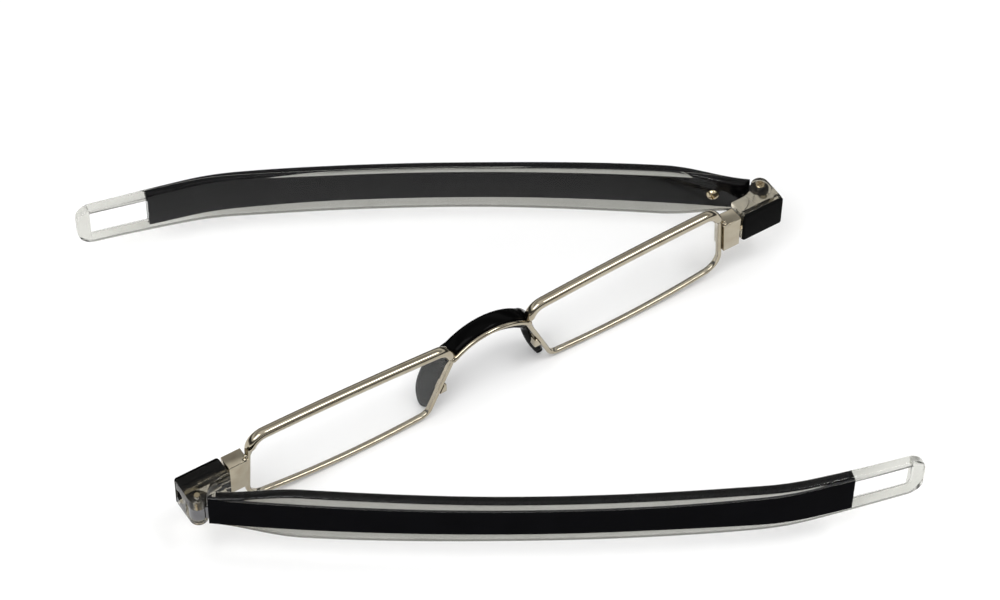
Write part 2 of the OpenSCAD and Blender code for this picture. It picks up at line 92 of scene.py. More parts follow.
# Bridge and saddle
WIRE_D, WIRE_Y = 0.95, -1.25
BRIDGE_HALF, BRIDGE_END_Z, BRIDGE_RISE = 9.0, 2.3, 3.6
BRIDGE_R = (BRIDGE_HALF ** 2 + BRIDGE_RISE ** 2) / (2 * BRIDGE_RISE)
BRIDGE_MID_Z = BRIDGE_END_Z + BRIDGE_RISE - BRIDGE_R
ARCH_T, ARCH_DEPTH, ARCH_Y, ARCH_OVER = 2.8, 4.1, 1.37, 0.4
ARCH_R = BRIDGE_R + ARCH_OVER - ARCH_T / 2
PAD_LOW = -AXIS_H                       # the floor, on which the pads stand
FOOT_DOME = 0.5
CLIP_Z, CLIP_W, CLIP_H, CLIP_Y1, CLIP_LAP = -5.5, 1.7, 2.2, 1.15, 0.6

# End piece
END_X0, END_X1 = 55.0, 59.9
END_Y0, END_Y1 = -1.5, 1.9
END_Z0, END_Z1 = -4.7, 3.3
LOCK_X, LOCK_Y = END_X1 - 1.95, END_Y1 - 0.9
LOCK_R, LOCK_L = 0.5, 3.68
LOCK_HEAD_R, LOCK_HEAD_H = 0.74, 0.6

# Swivel block
BLOCK_X0, BLOCK_X1 = (corner.x for corner in millimetres("swivel_block_left"))
BLOCK_H = 7.6
COVER_Y, COVER_T = -2.0, 0.5
BLOCK_Y0, BLOCK_Y1 = COVER_Y + COVER_T, 2.9
KNUCKLE_R = 1.9
WEB_R, CORNER_R = 4.5, 0.45
SLOT_GAP = 0.45
WASHER_X0 = BLOCK_X0 + 1.6
SPRING_X0 = WASHER_X0 + 0.4
SPRING_L = 3.0
HEAD_X0 = SPRING_X0 + SPRING_L
SHANK_R, SHANK_DEPTH, BORE_R = 0.7, 2.7, 0.75       # the shank goes this deep into the end piece
HEAD_R, HEAD_H, RECESS_R = 1.2, 1.0, 1.3
COLLAR_R = 1.6

# Hinge
PIN_R, PIN_HEAD_R, PIN_HEAD_H = 0.7, 1.0, 0.5
LEAF_H, LEAF_RISE, LEAF_L, LEAF_T = 3.4, 0.6, 14.0, 0.4
LEAF_SCREW_S, LEAF_SCREW_R, LEAF_HEAD_R = 9.5, 0.6, 1.35

# Temple
TEMPLE_L, TEMPLE_T = 141.0, 2.2
TEMPLE_S0 = KNUCKLE_R + 0.2
ROOT_H, TEMPLE_H, SHOULDER, TIP_H = 8.1, 12.1, 1.2, 10.2
SHOULDER_S, WAIST_S, TAPER_S = 20.0, 0.45 * TEMPLE_L, 0.7 * TEMPLE_L
INLAY_ROOT_H, INLAY_H, INLAY_END_H, INLAY_T = 7.6, 7.2, 8.9, 0.8
RAIL = 0.25
LOOP_L, LOOP_T, LOOP_END_T = 14.9, 1.1, 2.8
INLAY_END = TEMPLE_L - LOOP_L
CURVE, CURVE_L = 15.7, 140.0            # degrees that the temple turns over this length
TIP_BEND, BEND_S, BEND_W = 9.1, 0.8 * TEMPLE_L, 5.0
TIP_R, EDGE_R, ROOT_R, THIN_L = 3.6, 0.55, 0.25, 0.7
HEEL_R = 2.2
SPINE_STEP = 0.5
REST_FOLD = math.radians(38.3)
SKIN_N = TEMPLE_T / 2 - INLAY_T
LEAF_N = TEMPLE_T / 2 - (INLAY_T + LEAF_T) / 2


# ---- Places and mesh tools ----

FLIP = Matrix.Diagonal((-1, 1, 1, 1))
LEFT = Matrix.Scale(MM, 4) @ Matrix.Translation((0, 0, AXIS_H))
MIRRORED = LEFT @ FLIP
REFLECTED = LEFT @ Matrix.Diagonal((-1, -1, -1, 1))
ALONG_Z = Matrix.Rotation(math.radians(-90), 4, "Y")     # turns the X axis to +Z
TO_INNER = Matrix.Rotation(math.radians(-90), 4, "Z")    # turns the X axis to -Y, a temple's inner side


def mesh_of(points, faces):
    """A closed mesh with its doubled points joined and its faces turned outwards."""
    mesh = bpy.data.meshes.new("piece")
    mesh.from_pydata([tuple(p) for p in points], [], faces)
    bm = bmesh.new()
    bm.from_mesh(mesh)
    bmesh.ops.remove_doubles(bm, verts=bm.verts, dist=1e-5)
    bmesh.ops.recalc_face_normals(bm, faces=bm.faces)
    bm.to_mesh(mesh)
    bm.free()
    return mesh


def loft(rings, closed=False):
    """Joins rings of equal size; the end rings are capped, or the last ring meets the first."""
    count, size = len(rings), len(rings[0])
    faces = []
    for i in range(count if closed else count - 1):
        a, b = i * size, (i + 1) % count * size
        for k in range(size):
            n = (k + 1) % size
            faces.append((a + k, a + n, b + n, b + k))
    if not closed:
        faces.append(tuple(reversed(range(size))))
        faces.append(tuple(range((count - 1) * size, count * size)))
    return mesh_of([p for ring in rings for p in ring], faces)


def steps_between(first, last, count):
    """Evenly spaced values from the first to the last, with both."""
    return [first + (last - first) * k / count for k in range(count + 1)]


def rounded_box_section(half_a, half_b, radius, steps=5):
    """Points around a rectangle with round corners, as (a, b) pairs."""
    points = []
    for sa, sb, start in ((1, 1, 0), (-1, 1, 90), (-1, -1, 180), (1, -1, 270)):
        for k in range(steps + 1):
            angle = math.radians(start + 90 * k / steps)
            points.append((sa * (half_a - radius) + radius * math.cos(angle),
                           sb * (half_b - radius) + radius * math.sin(angle)))
    return points


def inset(outline, distance):
    """Moves a closed outline inwards by a small distance."""
    area = sum(p[0] * q[1] - q[0] * p[1] for p, q in zip(outline, outline[1:] + outline[:1]))
    sign = 1 if area > 0 else -1
    points = []
    for i, p in enumerate(outline):
        before = (Vector(p) - Vector(outline[i - 1])).normalized()
        after = (Vector(outline[(i + 1) % len(outline)]) - Vector(p)).normalized()
        normal = Vector((-(before.y + after.y), before.x + after.x)) * sign
        normal.normalize()
        stretch = max(0.5, normal.dot(Vector((-after.y, after.x)) * sign))
        points.append(tuple(Vector(p) + normal * distance / stretch))
    return points


def prism(outline, low, high, edge=0.2, steps=4, upright=False):
    """Extrudes an outline along Z, or along Y if upright, with the edges of both ends rounded."""
    levels = [(low, 1, k) for k in range(steps + 1)] + [(high, -1, k) for k in range(steps, -1, -1)]
    rings = []
    for end, sign, k in levels:
        angle = math.radians(90 * k / steps)
        ring = inset(outline, edge * (1 - math.sin(angle))) if k < steps else outline
        height = end + sign * edge * (1 - math.cos(angle))
        rings.append([(a, height, b) if upright else (a, b, height) for a, b in ring])
    return loft(rings)


def lathe(profile, segments=40, hollow=False):
    """Turns a profile of (distance along X, radius) pairs about the X axis."""
    rings = []
    for along, radius in profile:
        rings.append([(along, radius * math.cos(2 * math.pi * k / segments),
                       radius * math.sin(2 * math.pi * k / segments)) for k in range(segments)])
    return loft(rings, closed=hollow)


def box(x0, x1, y0, y1, z0, z1):
    """A plain box, used only to cut with."""
    points = [(x, y, z) for x in (x0, x1) for y in (y0, y1) for z in (z0, z1)]
    faces = [(0, 1, 3, 2), (4, 6, 7, 5), (0, 4, 5, 1), (2, 3, 7, 6), (0, 2, 6, 4), (1, 5, 7, 3)]
    return mesh_of(points, faces)


def moved(mesh, matrix):
    """Moves a mesh in place; one that is mirrored has its faces turned outwards again."""
    mesh.transform(matrix)
    if matrix.determinant() < 0:
        mesh.flip_normals()
    return mesh


def carved(mesh, tools, operation="DIFFERENCE"):
    """The mesh cut by, or joined with, each of the tool meshes."""
    base = bpy.data.objects.new("carved", mesh)
    SCENE.collection.objects.link(base)
    made = [base]
    for tool in tools:
        cutter = bpy.data.objects.new("cutter", tool)
        SCENE.collection.objects.link(cutter)
        made.append(cutter)
        step = base.modifiers.new("cut", "BOOLEAN")
        step.operation, step.solver, step.object = operation, "EXACT", cutter
    bpy.context.view_layer.update()
    result = bpy.data.meshes.new_from_object(base.evaluated_get(bpy.context.evaluated_depsgraph_get()))
    for obj in made:
        bpy.data.objects.remove(obj)
    return result


def with_mirror(meshes):
    """Separate solids and their mirror images on the other side of the nose, as one mesh."""
    bm = bmesh.new()
    for mesh in meshes + [moved(mesh.copy(), FLIP) for mesh in meshes]:
        bm.from_mesh(mesh)
    result = bpy.data.meshes.new("piece")
    bm.to_mesh(result)
    bm.free()
    return result


def piece(name, mesh, place, body, slot, node, sharp=32):
    """Puts a mesh in the scene as the piece that stands for a CAD node."""
    moved(mesh, place)
    mesh.polygons.foreach_set("use_smooth", [True] * len(mesh.polygons))
    mesh.set_sharp_from_angle(angle=math.radians(sharp))
    mesh.materials.clear()
    mesh.materials.append(MATERIALS[slot])
    obj = bpy.data.objects.new(name, mesh)
    SCENE.collection.objects.link(obj)
    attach(obj, body)
    if node:
        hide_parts(node)
    return obj


# ---- Materials ----

def shader(name):
    """A new material, its node tree and its Principled shader."""
    material = bpy.data.materials.new(name)
    material.use_nodes = True
    tree = material.node_tree
    return material, tree, tree.nodes["Principled BSDF"]


def noise(tree, scale, detail=3.0, stretch=(1, 1, 1)):
    """Noise in the piece's own coordinates; scale is in marks per metre."""
    place = tree.nodes.new("ShaderNodeTexCoord")
    mapping = tree.nodes.new("ShaderNodeMapping")
    mapping.inputs["Scale"].default_value = stretch
    texture = tree.nodes.new("ShaderNodeTexNoise")
    texture.inputs["Scale"].default_value = scale
    texture.inputs["Detail"].default_value = detail
    tree.links.new(place.outputs["Object"], mapping.inputs["Vector"])
    tree.links.new(mapping.outputs["Vector"], texture.inputs["Vector"])
    return texture.outputs["Fac"]


def spread(tree, factor, low, high, sharpness=0.5):
    """Maps a noise to values between low and high."""
    step = tree.nodes.new("ShaderNodeMapRange")
    step.inputs["From Min"].default_value = 0.5 - 0.5 * sharpness
    step.inputs["From Max"].default_value = 0.5 + 0.5 * sharpness
    step.inputs["To Min"].default_value = low
    step.inputs["To Max"].default_value = high
    tree.links.new(factor, step.inputs["Value"])
    return step.outputs["Result"]


def tint(tree, factor, first, second):
    """Blends two colours by a factor."""
    step = tree.nodes.new("ShaderNodeMix")
    step.data_type = "RGBA"
    step.inputs[6].default_value = (*first, 1)
    step.inputs[7].default_value = (*second, 1)
    tree.links.new(factor, step.inputs[0])
    return step.outputs[2]


def bump(tree, factor, shade, depth, strength):
    """Roughens the shader's surface by a noise, to a depth in metres."""
    step = tree.nodes.new("ShaderNodeBump")
    step.inputs["Distance"].default_value = depth
    step.inputs["Strength"].default_value = strength
    tree.links.new(factor, step.inputs["Height"])
    tree.links.new(step.outputs["Normal"], shade.inputs["Normal"])


def set_ramp(ramp, stops):
    """Fills a colour ramp with (position, colour) stops."""
    bands = ramp.color_ramp.elements
    while len(bands) < len(stops):
        bands.new(0.5)
    for band, (where, color) in zip(bands, stops):
        band.position = where
        band.color = (*color, 1)


def metal(name, bright, dull, rough, brushed=False):
    """Polished or brushed metal, with faint tarnish and hairline scratches."""
    material, tree, shade = shader(name)
    shade.inputs["Metallic"].default_value = 1.0
    tarnish = noise(tree, 420, 4)
    tree.links.new(tint(tree, spread(tree, tarnish, 0, 1), bright, dull), shade.inputs["Base Color"])
    scratches = noise(tree, 900, 2, (0.04 if brushed else 0.12, 1, 1))
    tree.links.new(spread(tree, scratches, *rough), shade.inputs["Roughness"])
    bump(tree, scratches, shade, 0.00002, 0.35 if brushed else 0.12)
    return material


def black(name, dark, grey, rough, grain, depth, mirror):
    """Black plastic: slightly uneven, with a moulded grain of so many marks per metre."""
    material, tree, shade = shader(name)
    shade.inputs["Specular IOR Level"].default_value = mirror
    cloud = noise(tree, 160, 3)
    tree.links.new(tint(tree, spread(tree, cloud, 0, 1), dark, grey), shade.inputs["Base Color"])
    surface = noise(tree, grain, 5)
    tree.links.new(spread(tree, surface, *rough), shade.inputs["Roughness"])
    bump(tree, surface, shade, depth, 0.25)
    return material


def painted_light_by_depth(tree, painted_light_tints):
    """A colour of painted shade and painted reflection for clear plastic. It goes through (distance before or
    behind the swivel axis in metres, colour) stops.
    """
    place = tree.nodes.new("ShaderNodeTexCoord")
    split = tree.nodes.new("ShaderNodeSeparateXYZ")
    away = tree.nodes.new("ShaderNodeMath")
    away.operation = "ABSOLUTE"
    span = tree.nodes.new("ShaderNodeMapRange")
    farthest = painted_light_tints[-1][0]
    span.inputs["From Max"].default_value = farthest
    ramp = tree.nodes.new("ShaderNodeValToRGB")
    set_ramp(ramp, [(where / farthest, color) for where, color in painted_light_tints])
    tree.links.new(place.outputs["Object"], split.inputs["Vector"])
    tree.links.new(split.outputs["Y"], away.inputs[0])
    tree.links.new(away.outputs["Value"], span.inputs["Value"])
    tree.links.new(span.outputs["Result"], ramp.inputs["Fac"])
    return ramp.outputs["Color"]


def let_light_through(tree, shade, color):
    """Lets light pass the surface as a tinted shadow."""
    through = tree.nodes.new("ShaderNodeBsdfTransparent")
    through.inputs["Color"].default_value = color
    path = tree.nodes.new("ShaderNodeLightPath")
    blend = tree.nodes.new("ShaderNodeMixShader")
    tree.links.new(path.outputs["Is Shadow Ray"], blend.inputs[0])
    tree.links.new(shade.outputs["BSDF"], blend.inputs[1])
    tree.links.new(through.outputs["BSDF"], blend.inputs[2])
    tree.links.new(blend.outputs["Shader"], tree.nodes["Material Output"].inputs["Surface"])


def clear(name, painted_light_tints, rough):
    """Clear moulded plastic, slightly hazy. Its base colour carries painted shade and painted reflection,
    graded by distance from the swivel axis.
    """
    material, tree, shade = shader(name)
    shade.inputs["Transmission Weight"].default_value = 1.0
    shade.inputs["IOR"].default_value = 1.3
    shade.inputs["Specular IOR Level"].default_value = 0.2
    smoke = (0.9, 0.9, 0.89, 1)
    haze = noise(tree, 140, 3)
    cloud = tree.nodes.new("ShaderNodeMix")
    cloud.data_type, cloud.blend_type = "RGBA", "MULTIPLY"
    cloud.inputs[7].default_value = smoke
    tree.links.new(spread(tree, haze, 0, 1), cloud.inputs[0])
    # Painted shade and reflection: the base colour is graded by distance from the swivel axis, under the
    # random haze
    tree.links.new(painted_light_by_depth(tree, painted_light_tints), cloud.inputs[6])
    tree.links.new(cloud.outputs[2], shade.inputs["Base Color"])
    ripple = noise(tree, 700, 2)
    tree.links.new(spread(tree, ripple, *rough), shade.inputs["Roughness"])
    bump(tree, haze, shade, 0.0002, 0.08)
    let_light_through(tree, shade, smoke)
    return material


def lens_glass():
    """Coated lens: nearly unseen from the front, with a faint mirror of the studio."""
    material, tree, shade = shader("lens")
    shade.inputs["Alpha"].default_value = 0.05
    shade.inputs["IOR"].default_value = 1.5
    film = noise(tree, 90, 2)
    tree.links.new(tint(tree, spread(tree, film, 0, 1), (0.93, 0.96, 0.97), (0.97, 0.97, 0.95)),
                   shade.inputs["Base Color"])
    tree.links.new(spread(tree, film, 0.02, 0.05), shade.inputs["Roughness"])
    return material


MATERIALS = {
    "polished_metal": metal("champagne_metal", bright=(0.44, 0.40, 0.31), dull=(0.36, 0.31, 0.23),
                            rough=(0.06, 0.13)),
    "gold_metal": metal("pale_gold", bright=(0.52, 0.45, 0.31), dull=(0.42, 0.34, 0.22), rough=(0.12, 0.22)),
    "steel": metal("steel", bright=(0.34, 0.34, 0.34), dull=(0.24, 0.24, 0.25),
                   rough=(0.16, 0.3), brushed=True),
    "dark_steel": metal("dark_steel", bright=(0.17, 0.17, 0.175), dull=(0.12, 0.12, 0.125),
                        rough=(0.15, 0.25)),
    # Painted shade and reflection in the clear plastic: beige at the swivel block, grey along the temple
    # rails, lighter at the tip loop
    "clear_plastic": clear("clear_plastic", rough=(0.06, 0.13),
                           painted_light_tints=((0, (0.36, 0.33, 0.26)), (0.006, (0.36, 0.34, 0.29)),
                                  (0.014, (0.40, 0.40, 0.37)), (0.062, (0.44, 0.44, 0.41)),
                                  (0.069, (0.70, 0.70, 0.66)))),
    "black_plastic": black("satin_black", dark=(0.003, 0.003, 0.003), grey=(0.005, 0.005, 0.005),
                           rough=(0.4, 0.55), grain=2600, depth=0.00003, mirror=0.012),
    "black_inlay": black("black_inlay", dark=(0.002, 0.002, 0.0025), grey=(0.003, 0.003, 0.004),
                         rough=(0.3, 0.42), grain=1500, depth=0.00001, mirror=0.006),
    "black_saddle": black("gloss_black", dark=(0.001, 0.001, 0.001), grey=(0.002, 0.002, 0.002),
                          rough=(0.1, 0.16), grain=300, depth=0.000004, mirror=0.03),
    "lens": lens_glass(),
}


# ---- Rims and lenses ----

def corner_arc(before, corner, after, radius, steps=12):
    """Points of the arc that rounds one corner, in order."""
    u, v = (before - corner).normalized(), (after - corner).normalized()
    half = u.angle(v) / 2
    centre = corner + (u + v).normalized() * radius / math.sin(half)
    first = corner + u * radius / math.tan(half) - centre
    last = corner + v * radius / math.tan(half) - centre
    turn = first.angle_signed(last)
    return [centre + Matrix.Rotation(-turn * k / steps, 2) @ first for k in range(steps + 1)]


def rim_outline():
    """Outer outline of the left rim, in X and Z, with its two long sides bowed."""
    corners = [Vector((BRIDGE_W / 2, NASAL_TOP)),
               Vector((BRIDGE_W / 2 + LENS_W, NASAL_TOP + LENS_RISE)),
               Vector((BRIDGE_W / 2 + LENS_W + TEMPORAL_LEAN, NASAL_TOP - LENS_H + LOW_RISE)),
               Vector((BRIDGE_W / 2 + NASAL_LEAN, NASAL_TOP - LENS_H))]
    radii = (TOP_R, TOP_R, TEMPORAL_LOW_R, NASAL_LOW_R)
    arcs = [corner_arc(corners[i - 1], corners[i], corners[(i + 1) % 4], radii[i]) for i in range(4)]
    points = []
    for i, (bow, steps) in enumerate(((TOP_BOW, 30), (0, 8), (LOW_BOW, 30), (0, 12))):
        start, end = arcs[i][-1], arcs[(i + 1) % 4][0]
        along = (end - start).normalized()
        outward = Vector((-along.y, along.x))
        points += arcs[i]
        for k in range(1, steps):
            t = k / steps
            points.append(start.lerp(end, t) + outward * 4 * bow * t * (1 - t))
    return points


def smooth_step(t):
    """Rises softly from 0 to 1."""
    t = min(1.0, max(0.0, t))
    return t * t * (3 - 2 * t)


def browness(point):
    """1 along the brow bar, 0 along the thin wire below it."""
    top = NASAL_TOP + LENS_RISE * (point.x - BRIDGE_W / 2) / LENS_W
    return smooth_step((point.y - top + BROW_REACH) / BROW_FADE)


def rim_stations():
    """Each outline point with its inward direction and its share of brow bar."""
    points = rim_outline()
    stations = []
    for i, p in enumerate(points):
        along = (points[(i + 1) % len(points)] - points[i - 1]).normalized()
        stations.append((p, Vector((along.y, -along.x)), browness(p)))
    return stations


def rim_mesh():
    """One rim: a round-edged section carried round the outline, thicker along the brow."""
    rings = []
    for p, inward, brow in rim_stations():
        thick = RIM_T + (BROW_T - RIM_T) * brow
        depth = RIM_DEPTH + (BROW_DEPTH - RIM_DEPTH) * brow
        radius = RIM_EDGE_R + (BROW_EDGE_R - RIM_EDGE_R) * brow
        ring = []
        for a, b in rounded_box_section(thick / 2, depth / 2, radius):
            spot = p + inward * (thick / 2 + a)
            ring.append((spot.x, FRONT_Y + b, spot.y))
        rings.append(ring)
    return loft(rings, closed=True)


def lens_mesh():
    """A plus lens: both faces curve to the front, the front face more."""
    edge = []
    for p, inward, brow in rim_stations():
        edge.append(p + inward * (RIM_T + (BROW_T - RIM_T) * brow - GROOVE))
    centre = sum(edge, Vector((0, 0))) / len(edge)
    shares = [0.02] + [k / 12 for k in range(1, 13)]
    rings = []
    for rim_y, sag, order in ((FRONT_Y - LENS_T / 2, FRONT_SAG, shares),
                              (FRONT_Y + LENS_T / 2, BACK_SAG, reversed(shares))):
        for share in order:
            y = rim_y - sag * (1 - share * share)
            rings.append([(c.x, y, c.y) for c in (centre.lerp(p, share) for p in edge)])
    return loft(rings)


# ---- Bridge, saddle and small front pieces ----

def swept_tube(path, radii, segments=16):
    """A round tube along a path of 3D points, with a radius at each."""
    rings = []
    for i, p in enumerate(path):
        along = (path[min(i + 1, len(path) - 1)] - path[max(i - 1, 0)]).normalized()
        side = along.cross(Vector((0, 1, 0))).normalized()
        up = side.cross(along)
        rings.append([p + radii[i] * (side * math.cos(2 * math.pi * k / segments)
                                      + up * math.sin(2 * math.pi * k / segments)) for k in range(segments)])
    return loft(rings)


def bridge_mesh():
    """The bridge wire, with solder swelling its two ends where they meet the rims."""
    reach, steps = math.asin(BRIDGE_HALF / BRIDGE_R), 64
    end_share, set_back, swelling = 0.14, 0.35, 0.25
    path, radii = [], []
    for k in range(steps + 1):
        across = 2 * k / steps - 1
        angle = reach * across
        end = max(0.0, abs(across) - (1 - end_share)) / end_share
        path.append(Vector((BRIDGE_R * math.sin(angle), WIRE_Y + set_back * end ** 1.5,
                            BRIDGE_MID_Z + BRIDGE_R * math.cos(angle))))
        radii.append(WIRE_D / 2 * (1 + swelling * math.sin(math.pi * end)))
    return swept_tube(path, radii)


def catmull(keys, t):
    """A smooth value through a list of keys, each a tuple of numbers, for t from 0 to 1."""
    last = len(keys) - 1
    spot = min(last - 1e-6, max(0.0, t * last))
    i, f = int(spot), spot - int(spot)
    p = [keys[min(last, max(0, i + d))] for d in (-1, 0, 1, 2)]
    return [(2 * b + (c - a) * f
             + (2 * a - 5 * b + 4 * c - d) * f ** 2
             + (3 * b - a - 3 * c + d) * f ** 3) / 2 for a, b, c, d in zip(*p)]


def arch_key(angle, y=ARCH_Y):
    """A key on the saddle's arch, at an angle from its top."""
    turn = math.radians(angle)
    return (ARCH_R * math.sin(turn), y, BRIDGE_MID_Z + ARCH_R * math.cos(turn), 0, 1, 0,
            ARCH_DEPTH / 2, ARCH_T / 2)


# Half of the saddle, from the top of the arch to a pad's foot, after one key that leads in. Each key is the
# centre, the direction of the depth, half the depth and half the thickness.
SADDLE_KEYS = [arch_key(-14), arch_key(0), arch_key(14), arch_key(28), arch_key(39, 1.4), arch_key(46, 1.75),
               (9.75, 2.5, -0.9, 0.40, 0.91, 0, 2.1, 1.05),
               (10.6, 3.0, -3.4, 0.46, 0.88, 0, 2.55, 1.0),
               (11.55, 3.2, -6.2, 0.46, 0.89, 0, 2.7, 0.98),
               (12.5, 3.1, -8.9, 0.42, 0.90, 0, 2.55, 0.95),
               (13.15, 2.55, -11.1, 0.34, 0.94, 0, 2.0, 0.9),
               (13.4, 1.9, PAD_LOW + 0.85, 0.3, 0.95, 0, 1.2, 0.75)]


def squared(value):
    """Swells a sine or cosine, which gives an ellipse fuller corners."""
    return math.copysign(abs(value) ** 0.6, value)


def saddle_ring(t, segments=28, nudge=0.004):
    """The saddle's section at a share t of its keys."""
    ahead, behind = catmull(SADDLE_KEYS, min(1, t + nudge)), catmull(SADDLE_KEYS, t - nudge)
    x, y, z, dx, dy, dz, long_half, thin_half = catmull(SADDLE_KEYS, t)
    along = (Vector(ahead[:3]) - Vector(behind[:3])).normalized()
    wide = Vector((dx, dy, dz))
    wide = (wide - along * wide.dot(along)).normalized()
    thin = along.cross(wide)
    angles = [2 * math.pi * j / segments for j in range(segments)]
    return [Vector((x, y, z)) + wide * long_half * squared(math.cos(angle))
            + thin * thin_half * squared(math.sin(angle)) for angle in angles]


def saddle_mesh():
    """One smooth strap: the arch over the nose runs into a leaf-shaped pad on each side."""
    steps, start = 96, 1 / (len(SADDLE_KEYS) - 1)
    half = [saddle_ring(start + (1 - start) * k / steps) for k in range(steps + 1)]
    # The foot closes in a short dome
    foot = half[-1]
    centre = sum(foot, Vector()) / len(foot)
    for share, depth in ((0.85, 0.45), (0.6, 0.75), (0.3, 0.95), (0.05, 1.0)):
        half.append([centre + (p - centre) * share + Vector((0, 0, -FOOT_DOME * depth)) for p in foot])
    other = [[Vector((-p.x, p.y, p.z)) for p in ring] for ring in reversed(half[1:])]
    return loft(other + half)


def nasal_edge_x(z):
    """Where the rim's nose side is at a height."""
    return BRIDGE_W / 2 + NASAL_LEAN * (NASAL_TOP - z) / LENS_H


def rounded_rectangle(x0, x1, z0, z1, radius, steps=5):
    """Points around a rectangle with round corners, between given limits."""
    points = rounded_box_section((x1 - x0) / 2, (z1 - z0) / 2, radius, steps)
    return [((x0 + x1) / 2 + a, (z0 + z1) / 2 + b) for a, b in points]


def rim_cutter():
    """Everything within the rim's outline, to cut its neighbours to its shape."""
    return prism([tuple(p) for p in rim_outline()], -20, 20, 0.01, 1, upright=True)


def clip_mesh():
    """The small square tab that grips the saddle beside the rim."""
    x1 = nasal_edge_x(CLIP_Z) + CLIP_LAP
    outline = rounded_rectangle(x1 - CLIP_W, x1, CLIP_Z - CLIP_H / 2, CLIP_Z + CLIP_H / 2, 0.3)
    return carved(prism(outline, FRONT_Y - RIM_DEPTH / 2, CLIP_Y1, 0.18, upright=True), [rim_cutter()])


def end_piece_mesh():
    """The metal end piece: a rounded block cut to the rim, bored for its two screws."""
    outline = rounded_rectangle(END_X0, END_X1, END_Z0, END_Z1, 0.22)
    body = prism(outline, END_Y0, END_Y1, 0.2, upright=True)
    bore = lathe([(END_X1 - SHANK_DEPTH - 0.1, SHANK_R + SEAT), (END_X1 + 1, SHANK_R + SEAT)])
    neck = END_Z0 + LOCK_HEAD_H
    profile = [(END_Z0 - 1, LOCK_HEAD_R + 0.03), (neck, LOCK_HEAD_R + 0.03),
               (neck, LOCK_R + SEAT), (END_Z0 + LOCK_L + SEAT, LOCK_R + SEAT)]
    lock = moved(lathe(profile), Matrix.Translation((LOCK_X, LOCK_Y, 0)) @ ALONG_Z)
    return carved(body, [rim_cutter(), bore, lock])


def lock_screw_mesh():
    """The slotted screw that closes a rim, driven up into the end piece."""
    neck, top, edge, point = END_Z0 + LOCK_HEAD_H, END_Z0 + LOCK_L, 0.12, 0.18
    profile = [(END_Z0, 0), (END_Z0, LOCK_HEAD_R - edge), (END_Z0 + edge, LOCK_HEAD_R), (neck, LOCK_HEAD_R),
               (neck, LOCK_R), (top - point, LOCK_R), (top, LOCK_R - point), (top, 0)]
    screw = moved(lathe(profile), Matrix.Translation((LOCK_X, LOCK_Y, 0)) @ ALONG_Z)
    slot = box(LOCK_X - 1, LOCK_X + 1, LOCK_Y - 0.12, LOCK_Y + 0.12, END_Z0 - 1, END_Z0 + 0.25)
    return carved(screw, [slot])


def bead_mesh(x, y, z, size):
    """A bead of solder: a low dome that spreads into a foot, facing up and forward."""
    base, radius, height = 0.15, 0.92, 0.75
    profile = [(-0.3, 0), (-0.3, 1.15), (-0.1, 1.05), (base, radius)]
    for degrees in range(15, 90, 15):
        angle = math.radians(degrees)
        profile.append((base + height * math.sin(angle), radius * math.cos(angle)))
    profile.append((base + height, 0))
    tilt = Matrix.Rotation(math.radians(50), 4, "X")
    return moved(lathe([(a * size, r * size) for a, r in profile], 20),
                 Matrix.Translation((x, y, z)) @ tilt @ ALONG_Z)


def solder_mesh():
    """Beads where the rim meets the end piece and the bridge wire, on both sides."""
    beads = [bead_mesh(END_X0 + 1.15, END_Y0 + 0.35, END_Z1 - 0.1, 0.52),
             bead_mesh(END_X0 + 0.95, END_Y0 + 0.5, END_Z1 + 0.75, 0.42),
             bead_mesh(BRIDGE_HALF - 0.2, WIRE_Y + 0.15, BRIDGE_END_Z + 0.2, 0.62)]
    return with_mirror(beads)


# ---- Swivel ----

def bored_disc(x0, x1, radius, edge):
    """A disc on the swivel's axis with chamfered edges and a bore for the screw."""
    return lathe([(x0, BORE_R), (x0, radius - edge), (x0 + edge, radius), (x1 - edge, radius),
                  (x1, radius - edge), (x1, BORE_R)], hollow=True)


def swivel_screw_mesh():
    """The long slotted screw that the block turns on."""
    x0, x1, edge, slot_h = END_X1 - SHANK_DEPTH, HEAD_X0 + HEAD_H, 0.18, 0.4
    profile = [(x0, 0), (x0, SHANK_R - 0.2), (x0 + 0.2, SHANK_R), (HEAD_X0, SHANK_R), (HEAD_X0, HEAD_R),
               (x1 - edge, HEAD_R), (x1, HEAD_R - edge), (x1, 0)]
    return carved(lathe(profile), [box(x1 - 0.45, x1 + 1, -2, 2, -slot_h / 2, slot_h / 2)])


def spring_mesh():
    """A round-wire coil between the washer and the screw's head."""
    turns, per_turn, sides, wire_r, gap = 6, 28, 10, 0.15, 0.02
    coil_r = HEAD_R - wire_r - 0.03
    steps = turns * per_turn
    path = []
    for k in range(steps + 1):
        angle = 2 * math.pi * k / per_turn
        along = SPRING_X0 + gap + wire_r + (SPRING_L - 2 * (wire_r + gap)) * k / steps
        path.append(Vector((along, coil_r * math.cos(angle), coil_r * math.sin(angle))))
    rings = []
    for i, p in enumerate(path):
        run = (path[min(i + 1, len(path) - 1)] - path[max(i - 1, 0)]).normalized()
        out = Vector((0, p.y, p.z)).normalized()
        out = (out - run * out.dot(run)).normalized()
        side = run.cross(out)
        angles = [2 * math.pi * j / sides for j in range(sides)]
        rings.append([p + wire_r * (out * math.cos(angle) + side * math.sin(angle)) for angle in angles])
    return loft(rings)


